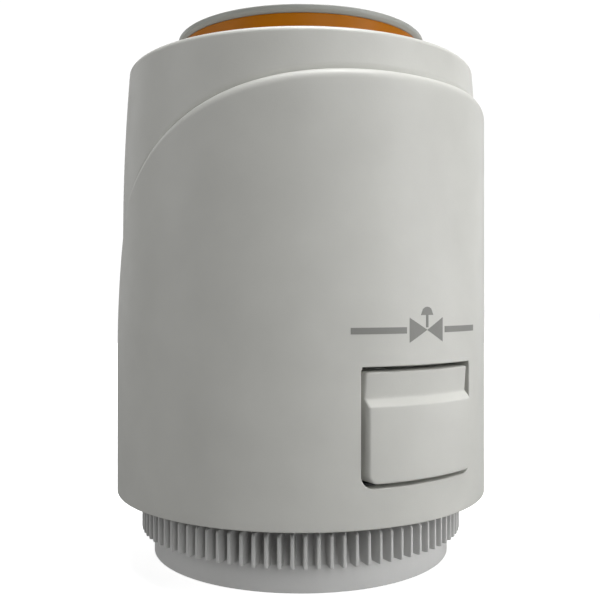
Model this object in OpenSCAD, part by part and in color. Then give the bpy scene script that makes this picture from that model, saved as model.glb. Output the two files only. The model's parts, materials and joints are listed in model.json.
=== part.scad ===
// Thermal actuator head for a heating valve, in millimetres.
// The origin is the centre of the adapter ring's lower face, where the valve's thread enters.
// +Z runs up the stem axis, and -Y points out of the release button.
// The stem is drawn lifted, with the indicator standing out of the top.

/* [Casing] */
// Radius of the casing's lower part
casing_r = 22.15; // [22.1:0.05:22.4]
// Radius of the drafted upper part at its widest
upper_r = 21.5; // [21.4:0.05:21.6]
// Height of the casing's lower edge
casing_base_z = 7.4; // [7.3:0.1:7.7]
// Height of the casing's top face
casing_top_z = 57.1; // [57:0.1:57.5]
// Thickness of the casing's wall
wall = 1.5; // [1.4:0.05:1.5]
// Height of the arched step above the button
arch_top_z = 52.4; // [51:0.1:53]

/* [Indicator and stem] */
// Travel of the stem
stroke = 4; // [3:0.5:4]
// Outer radius of the indicator sleeve
sleeve_r = 14.6; // [14.4:0.05:14.6]
// Outer radius of the indicator cap
cap_r = 14.97; // [14.8:0.01:14.97]
// Radius of the plunger that presses on the valve's pin
plunger_r = 5; // [4.5:0.1:5]
// Wire diameter of the closing spring
spring_wire = 1.9; // [1.5:0.1:1.9]
// Number of turns of the closing spring
spring_turns = 5; // [4:1:6]

/* [Release button] */
// Width of the button's window
window_w = 15.1; // [14.5:0.1:15.1]
// Height of the window's lower edge
window_z0 = 11.4; // [11.4:0.1:11.6]
// Height of the window's upper edge
window_z1 = 23.35; // [23.2:0.05:23.6]
// Gap between the button and its window
button_gap = 0.5; // [0.35:0.05:0.5]
// How far the button's pad stands out of the casing
pad_proud = 0.45; // [0.3:0.05:0.8]
// Travel of the button
press = 1.8; // [1:0.1:1.8]

/* [Valve adapter ring] */
// Minor radius of the M30 x 1.5 thread
thread_r = 14.188; // [14.188:0.001:14.2]
// Length of the thread
thread_len = 9.5; // [8:0.5:9.5]
// Outer radius of the plain collar
collar_r = 17.8; // [17.4:0.1:17.8]
// Height of the plain collar
collar_h = 2.9; // [2.5:0.1:3.2]
// Outer radius of the knurl
knurl_r = 19.26; // [19:0.02:19.4]
// Number of knurl ribs
knurl_count = 90; // [60:2:96]

/* [Hidden] */

round_fn = 96;
small_fn = 48;
eps = 0.01;
lap = 1;                        // how far joined shapes overlap, and how far a cut runs past a face
seat_gap = 0.1;                 // clearance round a piece that stays in its seat
running_gap = 0.05;             // radial clearance of a sliding fit

// Colours
casing_grey = [0.80, 0.80, 0.77];
ring_grey = [0.62, 0.62, 0.61];
cap_grey = [0.52, 0.53, 0.52];
signal_orange = [0.85, 0.47, 0.12];
frame_black = [0.16, 0.16, 0.17];
natural_nylon = [0.86, 0.84, 0.78];
rubber_black = [0.07, 0.07, 0.07];
brass = [0.78, 0.62, 0.30];
steel = [0.62, 0.63, 0.65];
wax_white = [0.93, 0.90, 0.80];
ceramic = [0.45, 0.43, 0.42];

// Casing
barrel_z = 37;                  // the upper part narrows above this height
barrel_drop = 0.78;             // how much it narrows up to the top fillet
fillet_r = 0.75;                // top edge
fillet_start = 15;              // the fillet leaves the drafted side at this angle
fillet_steps = 5;
top_wall = 2;
step_z = 19;                    // the inside is narrow above this height
step_slope = 1;                 // height of the slope that leads to it
shell_r = casing_r - wall;      // inside radius, lower part
liner_r = upper_r - wall;       // inside radius, upper part
ceiling_z = casing_top_z - top_wall;
arch_fall = 2.338;              // the arch falls by arch_fall * angle ^ arch_power, angle in radians
arch_power = 3.16;
arch_knee = 113;                // past this angle from the front the arch levels out
arch_rear_z = 25;
arch_steps = 30;
opening_r = 15.3;               // hole that the indicator rises through
window_corner = 1.3;            // lower corners of the button's window
window_back = 15;               // the window is cut this far from the axis

// Wiper in the top wall
wiper_r = 16.4;
wiper_gap = 0.06;
wiper_z = ceiling_z + 0.4;
wiper_h = 0.7;

// Valve adapter ring
knurl_top_z = 6.3;
knurl_root_r = knurl_r - 2.05;
knurl_tip_share = 0.42;         // share of the pitch that is rib
knurl_land = 0.3;               // half the angle between two ribs at their root
crown_r = 16.4;
crown_top_z = 15.3;
groove_r = 15.2;
groove_z = [11.7, 13.7];
neck_r = 11;                    // opening above the thread

// Base plate
plate_r = shell_r - 0.15;
plate_z0 = 9.2;
web_z0 = crown_top_z + 0.4;
web_z1 = web_z0 + 2;
crown_gap = 0.5;
hub_r = 8;
hub_top_z = 20.3;
seal_groove_r = 6.9;
seal_groove_z = [17, 18.9];
lug_r = 21.15;
lug_z = [13.6, 14.8];
lug_w = 5;
lug_angles = [50, 130, 230, 310];

// Latch
latch_z = [12, 13.4];
latch_hole_r = 17;
latch_offset = -1.5;            // the hole sits off the axis, so that one side reaches into the groove
latch_rim = 1.6;
latch_half_w = 18;
tongue_half_w = 5;
tongue_l = 3.2;
tongue_end = 21.4;
latch_gap = 0.2;
slot_z = [latch_z[0] - 2 * latch_gap, latch_z[1] + 2 * latch_gap];
slot_end = latch_hole_r + latch_rim + latch_offset + press + 0.5;

// Release button
button_sink = 0.1;              // the flush part lies this far below the casing's surface
button_corner = 1;
pad_z1 = 19.6;                  // upper edge of the proud pad
recess_z0 = 20;                 // the shallow finger recess lies above this height
recess_depth = 0.2;
crown_room = 0.3;               // between the pressed button and the adapter's crown
wing_half_w = 8.4;
wing_z0 = 15.9;
wing_t = 0.9;
wing_gap = 0.25;                // between the wings and the casing's inner wall
wing_front = wing_gap - sqrt(pow(liner_r, 2) - pow(wing_half_w, 2));
wing_back = wing_front + wing_t;
wing_room = 0.4;
stop_wall_y = [-13.4, -12.2];
stop_wall_half_w = 7;
stop_wall_top_z = 22.6;
button_spring_x = 4.5;
button_spring_z = 20.2;
button_spring_r = 1.3;
button_wire = 0.35;
button_turns = 4;

// Heating element
post_r = [8.3, 10.4];
post_half_angle = 30;
bridge_z = [28.4, 30];
rim_r = 9.2;
rim_top_z = 33;
strip_t = 0.6;
strip_w = 1.4;
strip_x = 2.6;                  // each contact's distance from the middle plane
strip_y = 6.9;                  // inner face of the contacts' upright run
strip_z = hub_top_z + 0.2;      // underside of the contacts' level run
pin_end_y = 20.6;
line_tongue = [2, -2];          // the line contact's tongue widens by the first and ends at the second
neutral_top_z = 38;
heater_r = 4.5;
heater_h = 1.6;
heater_z = bridge_z[1] + strip_t;
cup_z = heater_z + heater_h;
cup_r = 6.6;
cup_wall = 1.1;
cup_h = 12;
cup_bore_r = cup_r - cup_wall;
cup_top_z = cup_z + cup_h;
cup_flange_r = 8.4;
cup_flange_h = 1.5;
guide_flange_h = 1.8;
guide_neck_r = 4.6;
guide_top_z = 49.6;
piston_r = 2;
piston_z = [39.6, 54];
piston_room = 0.4;              // below the piston when the stem is down
rubber_r = 3.4;
rubber_bore_r = 2.15;
rubber_flange_h = 1.2;
thrust_pad_r = 4;

// Stem
yoke_r = [10.9, 12.6];
head_z = [54.6, 57];
flange_r = 18.3;
flange_z = [34.3, 36.3];
leg_half_angle = 28;
leg_z0 = 25;
bar_z = [25.7, 27.7];
bar_half_w = 3;
bar_half_l = 12.5;
neck_pin_r = 2.2;
plunger_z0 = 15;
sleeve_wall = 1.3;
sleeve_top_z = 60.25;
cap_h = 0.95;
spring_r = 16.75;               // mean radius of the closing spring

// Cable socket
socket_half_w = 7.4;
socket_z = [web_z1, 27];
socket_y0 = 15;
socket_wall = 1.2;
socket_floor = 1.6;

function bump(a) = arch_top_z - arch_fall * pow(a * PI / 180, arch_power);
function bump_slope(a) = arch_fall * arch_power * pow(a * PI / 180, arch_power - 1);
// Height of the arched step at angle a, in degrees from the front
function arch_z(a) =
    a <= arch_knee ? bump(a) :
    let (knee_z = bump(arch_knee), drop = knee_z - arch_rear_z)
    arch_rear_z + drop * exp(-bump_slope(arch_knee) / drop * (a - arch_knee) * PI / 180);

function arc(cx, cy, r, a0, a1, n) =
    [for (i = [0:n]) let (a = a0 + (a1 - a0) * i / n) [cx + r * cos(a), cy + r * sin(a)]];

// Radius of the upper part at height z
function barrel(z) =
    upper_r - barrel_drop * pow(max(0, z - barrel_z) / (casing_top_z - fillet_r - barrel_z), 2);

barrel_steps = 6;
barrel_z1 = casing_top_z - fillet_r;
function barrel_side(inset) =
    [for (i = [0:barrel_steps]) let (z = barrel_z + (barrel_z1 - barrel_z) * i / barrel_steps)
        [barrel(z) - inset, z]];

module ring(r0, r1, z0, z1, fn = round_fn) {
    translate([0, 0, z0])
        difference() {
            cylinder(r = r1, h = z1 - z0, $fn = fn);
            translate([0, 0, -lap]) cylinder(r = r0, h = z1 - z0 + 2 * lap, $fn = fn);
        }
}

module disc(r, z0, z1, fn = round_fn) {
    translate([0, 0, z0]) cylinder(r = r, h = z1 - z0, $fn = fn);
}

// A block from corner to corner
module block(lo, hi) {
    translate(lo) cube(hi - lo);
}

// A wedge of half angle a about the +X direction
module wedge(a, z0, z1) {
    reach = 40;
    translate([0, 0, z0])
        linear_extrude(z1 - z0)
            polygon([[0, 0], [reach * cos(a), -reach * sin(a)], [reach * cos(a), reach * sin(a)]]);
}

// A round wire wound on the Z axis between two heights
module coil(mean_r, wire_r, z0, z1, turns, steps, sides) {
    rings = turns * steps;
    rise = z1 - z0 - 2 * wire_r;
    points = [for (i = [0:rings], j = [0:sides - 1])
        let (a = 360 * i / steps, b = 360 * j / sides, r = mean_r + wire_r * cos(b))
        [r * cos(a), r * sin(a), z0 + wire_r + rise * i / rings + wire_r * sin(b)]];
    skin = [for (i = [0:rings - 1], j = [0:sides - 1]) let (k = (j + 1) % sides)
        [i * sides + j, (i + 1) * sides + j, (i + 1) * sides + k, i * sides + k]];
    start = [for (j = [0:sides - 1]) j];
    finish = [for (j = [sides - 1:-1:0]) rings * sides + j];
    polyhedron(points, concat(skin, [start], [finish]), convexity = 10);
}

module casing_core() {
    rotate_extrude($fn = round_fn)
        polygon(concat(
            [[0, casing_base_z], [upper_r, casing_base_z]],
            barrel_side(0),
            arc(barrel(barrel_z1) - fillet_r, barrel_z1, fillet_r, fillet_start, 90, fillet_steps),
            [[0, casing_top_z]]));
}

// The fuller lower part, cut off along the arch; side is -1 for the front half and 1 for the rear
module casing_bulge(side) {
    reach = casing_r + lap;
    angles = [for (i = [0:arch_steps]) -90 + 180 * i / arch_steps];
    intersection() {
        disc(casing_r, casing_base_z, arch_top_z + lap);
        translate([0, side < 0 ? 0 : reach, 0])
            rotate([90, 0, 0])
                linear_extrude(reach)
                    polygon(concat(
                        [[-reach, casing_base_z - lap]],
                        [[-reach, arch_z(90)]],
                        [for (a = angles) [casing_r * sin(a), arch_z(side < 0 ? abs(a) : 180 - abs(a))]],
                        [[reach, arch_z(90)]],
                        [[reach, casing_base_z - lap]]));
    }
}

module housing() {
    color(casing_grey)
        difference() {
            union() {
                casing_core();
                casing_bulge(-1);
                casing_bulge(1);
            }
            // Inside
            rotate_extrude($fn = round_fn)
                polygon(concat(
                    [[0, casing_base_z - lap], [shell_r, casing_base_z - lap],
                     [shell_r, step_z - step_slope], [liner_r, step_z]],
                    [for (p = barrel_side(wall)) if (p[1] < ceiling_z) p],
                    [[barrel(ceiling_z) - wall, ceiling_z], [0, ceiling_z]]));
            // Groove for the base plate's lugs
            disc(lug_r + seat_gap, lug_z[0] - seat_gap, lug_z[1] + seat_gap);
            // Indicator opening and the wiper's groove
            disc(opening_r, ceiling_z - lap, casing_top_z + lap);
            disc(wiper_r + seat_gap, wiper_z, wiper_z + wiper_h);
            // Windows for the button and the cable socket
            button_prism(window_w / 2, window_z0, window_z1, window_corner, -casing_r - lap, -window_back);
            block([-socket_half_w - seat_gap, socket_y0 - lap, socket_z[0] - seat_gap],
                  [socket_half_w + seat_gap, casing_r + lap, socket_z[1] + seat_gap]);
        }
}

// An upright plate along Y with square upper corners and rounded lower ones
module button_prism(half_w, z0, z1, corner_r, y0, y1) {
    translate([0, y1, 0])
        rotate([90, 0, 0])
            linear_extrude(y1 - y0)
                union() {
                    translate([-half_w, z0 + corner_r]) square([2 * half_w, z1 - z0 - corner_r]);
                    translate([-half_w + corner_r, z0]) square([2 * (half_w - corner_r), z1 - z0]);
                    for (s = [-1, 1])
                        translate([s * (half_w - corner_r), z0 + corner_r])
                            circle(r = corner_r, $fn = small_fn);
                }
}

module base_plate() {
    color(frame_black)
        difference() {
            union() {
                disc(plate_r, plate_z0, web_z1);
                disc(hub_r, web_z0, hub_top_z);
                block([-stop_wall_half_w, stop_wall_y[0], web_z1 - lap],
                      [stop_wall_half_w, stop_wall_y[1], stop_wall_top_z]);
                // Snap lugs, either side of the button and of the socket
                for (a = lug_angles)
                    intersection() {
                        disc(lug_r, lug_z[0], lug_z[1]);
                        rotate([0, 0, a])
                            block([0, -lug_w / 2, lug_z[0]], [lug_r + lap, lug_w / 2, lug_z[1]]);
                    }
            }
            disc(crown_r + crown_gap, plate_z0 - lap, web_z0);
            // Slot that the latch plate slides in
            block([-latch_half_w - latch_gap, -casing_r, slot_z[0]],
                  [latch_half_w + latch_gap, slot_end, slot_z[1]]);
            // Room for the button and its wings
            block([-wing_half_w - wing_room, -casing_r, slot_z[0]],
                  [wing_half_w + wing_room, wing_back + press + wing_room, web_z1 + lap]);
            disc(plunger_r + running_gap, web_z0 - lap, hub_top_z + lap, small_fn);
            disc(seal_groove_r, seal_groove_z[0], seal_groove_z[1], small_fn);
        }
}

module cable_socket() {
    color(frame_black)
        difference() {
            intersection() {
                block([-socket_half_w, socket_y0, socket_z[0]], [socket_half_w, casing_r, socket_z[1]]);
                disc(upper_r, socket_z[0] - lap, socket_z[1] + lap);
            }
            block([-socket_half_w + socket_wall, socket_y0 + socket_floor, socket_z[0] + socket_wall],
                  [socket_half_w - socket_wall, casing_r + lap, socket_z[1] - socket_wall]);
            for (side = [-1, 1]) strip_run(side);
        }
}

// Level run of a contact, from the pin's end to the inside of the carrier's post
module strip_run(side) {
    x0 = side * strip_x - strip_w / 2;
    block([x0, strip_y, strip_z], [x0 + strip_w, pin_end_y, strip_z + strip_t]);
}

// Upright run of a contact, up to height z1
module strip_rise(side, z1) {
    x0 = side * strip_x - strip_w / 2;
    block([x0, strip_y, strip_z], [x0 + strip_w, strip_y + strip_t, z1]);
}

module line_contact() {
    x0 = -strip_x - strip_w / 2;
    color(brass)
        union() {
            strip_run(-1);
            strip_rise(-1, heater_z);
            // Tongue under the heater
            block([x0, line_tongue[1], bridge_z[1]],
                  [x0 + strip_w + line_tongue[0], strip_y + strip_t, heater_z]);
        }
}

module neutral_contact() {
    x0 = strip_x - strip_w / 2;
    touch_y = sqrt(pow(cup_r, 2) - pow(x0, 2)) + eps;
    color(brass)
        union() {
            strip_run(1);
            strip_rise(1, neutral_top_z);
            // Foot that touches the cup
            block([x0, touch_y, neutral_top_z - strip_w], [x0 + strip_w, strip_y + strip_t, neutral_top_z]);
        }
}

module element_carrier() {
    color(natural_nylon)
        difference() {
            union() {
                disc(post_r[1], bridge_z[0], bridge_z[1]);
                ring(rim_r, post_r[1], bridge_z[1] - lap, rim_top_z);
                for (a = [90, 270])
                    intersection() {
                        ring(post_r[0], post_r[1], web_z1, bridge_z[0] + lap);
                        rotate([0, 0, a]) wedge(post_half_angle, web_z1, bridge_z[0] + lap);
                    }
            }
            for (side = [-1, 1]) {
                strip_run(side);
                strip_rise(side, bridge_z[1] + lap);
            }
        }
}

module ptc_heater() {
    color(ceramic) disc(heater_r, heater_z, heater_z + heater_h, small_fn);
}

module wax_cup() {
    color(brass)
        difference() {
            union() {
                disc(cup_r, cup_z, cup_top_z, small_fn);
                disc(cup_flange_r, cup_top_z - cup_flange_h, cup_top_z, small_fn);
            }
            disc(cup_bore_r, cup_z + cup_wall, cup_top_z + lap, small_fn);
        }
}

module wax_charge() {
    color(wax_white) ring(rubber_r, cup_bore_r, cup_z + cup_wall, cup_top_z - rubber_flange_h, small_fn);
}

module element_sleeve() {
    color(rubber_black)
        difference() {
            union() {
                disc(rubber_r, cup_z + cup_wall, cup_top_z, small_fn);
                disc(cup_bore_r, cup_top_z - rubber_flange_h, cup_top_z, small_fn);
            }
            disc(rubber_bore_r, piston_z[0] - stroke - piston_room, cup_top_z + lap, small_fn);
        }
}

module element_guide() {
    color(brass)
        difference() {
            union() {
                disc(cup_flange_r, cup_top_z, cup_top_z + guide_flange_h, small_fn);
                disc(guide_neck_r, cup_top_z, guide_top_z, small_fn);
            }
            disc(piston_r + running_gap, cup_top_z - lap, guide_top_z + lap, small_fn);
        }
}

module plunger_seal() {
    groove_mid = (seal_groove_z[0] + seal_groove_z[1]) / 2;
    section_r = (seal_groove_r - plunger_r - 2 * running_gap) / 2;
    color(rubber_black)
        translate([0, 0, groove_mid])
            rotate_extrude($fn = small_fn)
                translate([plunger_r + running_gap + section_r, 0]) circle(r = section_r, $fn = 24);
}

module indicator_wiper() {
    color(rubber_black) ring(sleeve_r + wiper_gap, wiper_r, wiper_z, wiper_z + wiper_h);
}

module closing_spring() {
    color(steel) coil(spring_r, spring_wire / 2, flange_z[1], ceiling_z, spring_turns, 24, 8);
}

module lift_yoke() {
    color(frame_black)
        difference() {
            union() {
                disc(yoke_r[1], head_z[0], head_z[1]);
                ring(yoke_r[0], yoke_r[1], flange_z[0], head_z[0] + lap);
                ring(yoke_r[0], flange_r, flange_z[0], flange_z[1]);
                for (a = [0, 180])
                    intersection() {
                        ring(yoke_r[0], yoke_r[1], leg_z0, flange_z[0] + lap);
                        rotate([0, 0, a]) wedge(leg_half_angle, leg_z0, flange_z[0] + lap);
                    }
            }
            // Windows for the cross bar
            block([-yoke_r[1] - lap, -bar_half_w, bar_z[0]], [yoke_r[1] + lap, bar_half_w, bar_z[1]]);
        }
}

module indicator_sleeve() {
    color(signal_orange) ring(sleeve_r - sleeve_wall, sleeve_r, flange_z[1], sleeve_top_z);
}

module indicator_cap() {
    color(cap_grey)
        union() {
            disc(cap_r, sleeve_top_z, sleeve_top_z + cap_h);
            disc(sleeve_r - sleeve_wall, head_z[1], sleeve_top_z + eps);
        }
}

module wax_piston() {
    color(steel) disc(piston_r, piston_z[0], piston_z[1], small_fn);
}

module thrust_pad() {
    color(steel) disc(thrust_pad_r, piston_z[1], head_z[0], small_fn);
}

module cross_bar() {
    color(steel)
        difference() {
            block([-bar_half_l, -bar_half_w, bar_z[0]], [bar_half_l, bar_half_w, bar_z[1]]);
            disc(neck_pin_r, bar_z[0] - lap, bar_z[1] + lap, small_fn);
        }
}

module plunger() {
    color(natural_nylon)
        union() {
            disc(plunger_r, plunger_z0, bar_z[0], small_fn);
            disc(neck_pin_r, bar_z[0], bar_z[1], small_fn);
        }
}

module release_button() {
    half_w = window_w / 2 - button_gap;
    z0 = window_z0 + button_gap;
    z1 = window_z1 - button_gap;
    front = -casing_r - pad_proud - lap;
    color(casing_grey)
        difference() {
            union() {
                // Flush part, with the finger recess above the pad
                difference() {
                    intersection() {
                        disc(casing_r - button_sink, z0, z1);
                        button_prism(half_w, z0, z1, button_corner, front, wing_back);
                    }
                    ring(casing_r - button_sink - recess_depth, casing_r + lap, recess_z0, z1 - recess_depth);
                }
                // Proud pad
                intersection() {
                    disc(casing_r + pad_proud, z0, pad_z1);
                    button_prism(half_w, z0, pad_z1, button_corner, front, wing_back);
                }
                // Wings that keep the button behind the casing's wall
                block([-wing_half_w, wing_front, wing_z0], [wing_half_w, wing_back, z1]);
            }
            // Notch for the latch plate, and room for the adapter's crown
            block([-half_w - lap, -tongue_end, z0 - lap], [half_w + lap, wing_back + lap, latch_z[1]]);
            block([-half_w - lap, -crown_r - press - crown_room, z0 - lap],
                  [half_w + lap, wing_back + lap, wing_z0]);
        }
}

module latch_plate() {
    color(steel)
        translate([0, 0, latch_z[0]])
            linear_extrude(latch_z[1] - latch_z[0])
                difference() {
                    union() {
                        intersection() {
                            translate([0, latch_offset])
                                circle(r = latch_hole_r + latch_rim, $fn = round_fn);
                            square([2 * latch_half_w, 2 * casing_r], center = true);
                        }
                        translate([-tongue_half_w, -tongue_end]) square([2 * tongue_half_w, tongue_l]);
                    }
                    translate([0, latch_offset]) circle(r = latch_hole_r, $fn = round_fn);
                }
}

module button_springs() {
    color(steel)
        for (s = [-1, 1])
            translate([s * button_spring_x, stop_wall_y[0], button_spring_z])
                rotate([90, 0, 0])
                    coil(button_spring_r, button_wire / 2, 0, stop_wall_y[0] - wing_back,
                         button_turns, 16, 8);
}

module valve_adapter_ring() {
    pitch = 360 / knurl_count;
    tip = pitch * knurl_tip_share / 2;
    root = pitch / 2 - knurl_land;
    color(ring_grey)
        difference() {
            union() {
                disc(collar_r, 0, collar_h + eps);
                translate([0, 0, collar_h])
                    linear_extrude(knurl_top_z - collar_h)
                        polygon([for (i = [0:knurl_count - 1], k = [0:3])
                            let (a = i * pitch + [-root, -tip, tip, root][k],
                                 r = (k == 1 || k == 2) ? knurl_r : knurl_root_r)
                            [r * cos(a), r * sin(a)]]);
                difference() {
                    disc(crown_r, collar_h, crown_top_z);
                    ring(groove_r, crown_r + lap, groove_z[0], groove_z[1]);
                }
            }
            disc(thread_r, -lap, thread_len);
            disc(neck_r, thread_len - lap, crown_top_z + lap);
        }
}

housing();
base_plate();
cable_socket();
line_contact();
neutral_contact();
element_carrier();
ptc_heater();
wax_cup();
wax_charge();
element_sleeve();
element_guide();
plunger_seal();
indicator_wiper();
closing_spring();
lift_yoke();
indicator_sleeve();
indicator_cap();
wax_piston();
thrust_pad();
cross_bar();
plunger();
release_button();
latch_plate();
button_springs();
valve_adapter_ring();
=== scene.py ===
import json
import math

import bmesh
import bpy
import mathutils
import numpy as np
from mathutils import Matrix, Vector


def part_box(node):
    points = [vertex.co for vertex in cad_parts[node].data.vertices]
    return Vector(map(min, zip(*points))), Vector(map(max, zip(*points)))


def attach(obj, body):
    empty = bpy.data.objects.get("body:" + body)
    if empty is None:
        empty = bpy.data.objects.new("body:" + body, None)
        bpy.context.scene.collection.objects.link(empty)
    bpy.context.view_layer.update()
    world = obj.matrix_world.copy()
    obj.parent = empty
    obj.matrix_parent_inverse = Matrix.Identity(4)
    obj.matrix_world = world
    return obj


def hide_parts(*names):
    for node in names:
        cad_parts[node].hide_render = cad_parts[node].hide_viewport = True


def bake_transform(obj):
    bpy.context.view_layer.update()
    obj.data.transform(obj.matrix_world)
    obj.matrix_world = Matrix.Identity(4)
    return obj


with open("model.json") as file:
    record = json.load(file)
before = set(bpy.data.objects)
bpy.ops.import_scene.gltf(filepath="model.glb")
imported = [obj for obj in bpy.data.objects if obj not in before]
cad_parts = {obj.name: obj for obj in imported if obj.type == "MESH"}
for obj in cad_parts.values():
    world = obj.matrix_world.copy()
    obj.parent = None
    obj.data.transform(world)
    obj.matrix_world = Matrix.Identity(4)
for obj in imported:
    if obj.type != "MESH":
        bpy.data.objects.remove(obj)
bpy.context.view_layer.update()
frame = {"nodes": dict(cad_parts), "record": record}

MM = 0.001
CENTRE_R = 0.0001               # a turned profile stops this short of its axis


# ---------------------------------------------------------------- sizes, in millimetres

def box_mm(node):
    """Lowest and highest corner of a CAD node, in millimetres."""
    low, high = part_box(node)
    return np.array(low) / MM, np.array(high) / MM


HOUSING_LOW, HOUSING_HIGH = box_mm("housing")
CASING_R = HOUSING_HIGH[0]
BASE_Z = HOUSING_LOW[2]
TOP_Z = HOUSING_HIGH[2]
UPPER_R = CASING_R - 0.65       # widest radius of the drafted upper part
BARREL_Z = 37.0                 # the upper part narrows above this height
BARREL_DROP = 0.78              # by this much at its top
TOP_EDGE_R = 0.75               # rounded top edge: its height
TOP_EDGE_IN = 0.9               # and its depth
BASE_EDGE_R = 0.15
WALL = 1.5
CEILING_Z = TOP_Z - 2.0
OPENING_R = 15.3                # hole for the indicator
OPENING_EDGE_R = 0.25
TOP_FACE_RADII = (19.3, 18.3, 17.0, 15.8)
CEILING_RADII = (OPENING_R, OPENING_R + 1.5, OPENING_R + 3.0)
INNER_EDGE_R = 0.2              # rounded inner edge of the casing's foot
SIDE_Z1 = TOP_Z - TOP_EDGE_R
INNER_STEP_Z = 19.0             # the inside narrows over the last millimetre below here
CASING_COLUMNS = 384
WINDOW_COLUMNS = 30             # columns either side of a window's middle
WINDOW_MARGIN = 2.4             # height of skin above and below a window that is fitted to it

ARCH_TOP_Z = 52.4               # arched step above the button
ARCH_FALL = 2.338               # how far it falls one radian from the front
ARCH_POWER = 3.16
ARCH_KNEE = 113.0               # angle from which it levels out towards the rear
ARCH_REAR_Z = 25.0
STEP_RISE = (0.45, -3.0)        # top of the step over the arch, in front and behind
STEP_HEIGHT = (1.2, 6.5)        # height over which the step comes out, in front and behind
STEP_SOFTENS = (92.0, 24.0)     # angle where it starts to soften, and over how many degrees
SEAM_DEPTH = 0.26               # fine groove along the top of the crisp step
SEAM_HEIGHT = 0.55
ROWS_BELOW, ROWS_STEP, ROWS_ABOVE = 60, 14, 18   # rows of the outside under, across and over the step

WINDOW_HALF_W = 7.55            # button's window
WINDOW_Z = (11.4, 23.35)
WINDOW_CORNERS = (0.08, 1.3)    # radii of its upper and lower corners
WINDOW_EDGE_R = 0.1
SOCKET_LOW, SOCKET_HIGH = box_mm("cable_socket")
SOCKET_GAP = 0.1
SOCKET_CORNERS = (0.5, 0.5)
SOCKET_EDGE_R = 0.2
SOCKET_BEVEL = 0.18

BUTTON_LOW, BUTTON_HIGH = box_mm("release_button")
BUTTON_GAP = 0.5
BUTTON_EDGE_R = 0.2
BUTTON_CORNERS = (0.25, 1.0)    # radii of its upper and lower corners
BUTTON_SINK = 0.1               # its face is this far under the casing's skin
PAD_R = -BUTTON_LOW[1]
PAD_Z1 = 19.6
LEDGE_R = 0.25                  # rounded top edge of the pad
RECESS_DEPTH = 0.2              # finger recess, deepest at the ledge's foot
RECESS_RISE = 0.6               # from the top of the pad to the ledge's foot
BUTTON_BACK_Y = -18.5
WING_Y = (-17.9, -17.0)
WING_Z0 = 15.9
NECK_HALF_W = 6.5               # neck that carries the wings

CAP_LOW, CAP_HIGH = box_mm("indicator_cap")
SLEEVE_LOW, SLEEVE_HIGH = box_mm("indicator_sleeve")
SLEEVE_WALL = 1.3
CAP_LOW_EDGE_Z = SLEEVE_HIGH[2] + 0.13   # where the cap's side meets the sleeve
CAP_DISH = 0.12                 # the middle of the cap lies this much under its rim
CAP_EDGE_R = 0.22
CAP_PLUG_GAP = 0.1              # round the plug that goes down into the sleeve
TURNED_COLUMNS = 256

SPRING_LOW, SPRING_HIGH = box_mm("closing_spring")
SPRING_WIRE_R = 0.95
SPRING_TURNS = 5
PAIR_LOW, PAIR_HIGH = box_mm("button_springs")
PAIR_WIRE_R = 0.175
PAIR_TURNS = 6

RING_HIGH = box_mm("valve_adapter_ring")[1]
KNURL_R = RING_HIGH[0]
KNURL_COUNT = 90
KNURL_Z = (2.9, 6.3)
KNURL_DEPTH = 2.45
KNURL_RUN_OUT = 2.6             # height over which the floor of the gaps comes out to the collar
RIB_LOW_EDGE, RIB_TOP_EDGE = 0.16, (0.35, 0.6)   # rounded ends of a rib; the upper as height and depth
COLLAR_R = 17.8
COLLAR_EDGE_R = 0.1
CROWN_R = 16.4
CROWN_TOP_Z = RING_HIGH[2]
GROOVE_R = 15.2
GROOVE_Z = (11.7, 13.7)
NECK_R = 11.0
THREAD_MINOR_R = 14.188
THREAD_MAJOR_R = 15.0
THREAD_PITCH = 1.5
THREAD_LEN = 9.5


# ---------------------------------------------------------------- mesh helpers

class Shell:
    """Collects vertices in millimetres and faces, and makes them one mesh object."""

    def __init__(self):
        self.points = []
        self.faces = []

    def add(self, points):
        first = len(self.points)
        self.points.extend(tuple(float(c) for c in p) for p in points)
        return list(range(first, first + len(points)))

    def grid(self, rows, wrap_rows=False, wrap_cols=True, hole=lambda row, col: False):
        """Quads between rows of points. Returns the rows' vertex numbers."""
        index = [self.add(row) for row in rows]
        self.skin(index, wrap_rows, wrap_cols, hole)
        return index

    def skin(self, index, wrap_rows=False, wrap_cols=True, hole=lambda row, col: False):
        n_rows, n_cols = len(index), len(index[0])
        for j in range(n_rows if wrap_rows else n_rows - 1):
            low, high = index[j], index[(j + 1) % n_rows]
            for i in range(n_cols if wrap_cols else n_cols - 1):
                if not hole(j, i):
                    k = (i + 1) % n_cols
                    self.faces.append((low[i], low[k], high[k], high[i]))

    def lid(self, loop):
        self.faces.append(tuple(loop))

    def drop_loose(self):
        """Deletes the vertices that no face uses."""
        used = sorted({v for f in self.faces for v in f})
        number = {v: n for n, v in enumerate(used)}
        self.points = [self.points[v] for v in used]
        self.faces = [tuple(number[v] for v in f) for f in self.faces]

    def make(self, name, sharp_deg=40.0):
        mesh = bpy.data.meshes.new(name)
        mesh.from_pydata([[c * MM for c in p] for p in self.points], [], self.faces)
        mesh.validate()
        return finish_mesh(name, mesh, sharp_deg)


def finish_mesh(name, mesh, sharp_deg=40.0):
    work = bmesh.new()
    work.from_mesh(mesh)
    bmesh.ops.remove_doubles(work, verts=work.verts, dist=1e-7)
    bmesh.ops.recalc_face_normals(work, faces=work.faces)
    work.to_mesh(mesh)
    work.free()
    mesh.shade_smooth()
    mesh.set_sharp_from_angle(angle=math.radians(sharp_deg))
    obj = bpy.data.objects.new(name, mesh)
    bpy.context.scene.collection.objects.link(obj)
    return obj


def polar(r, a_deg, z):
    """Point at radius r and angle a from the front (-Y), turning towards +X."""
    a = math.radians(a_deg)
    return (r * math.sin(a), -r * math.cos(a), z)


def smooth(t):
    """0 to 1 with a level start and end."""
    t = min(1.0, max(0.0, t))
    return t * t * (3 - 2 * t)


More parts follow.
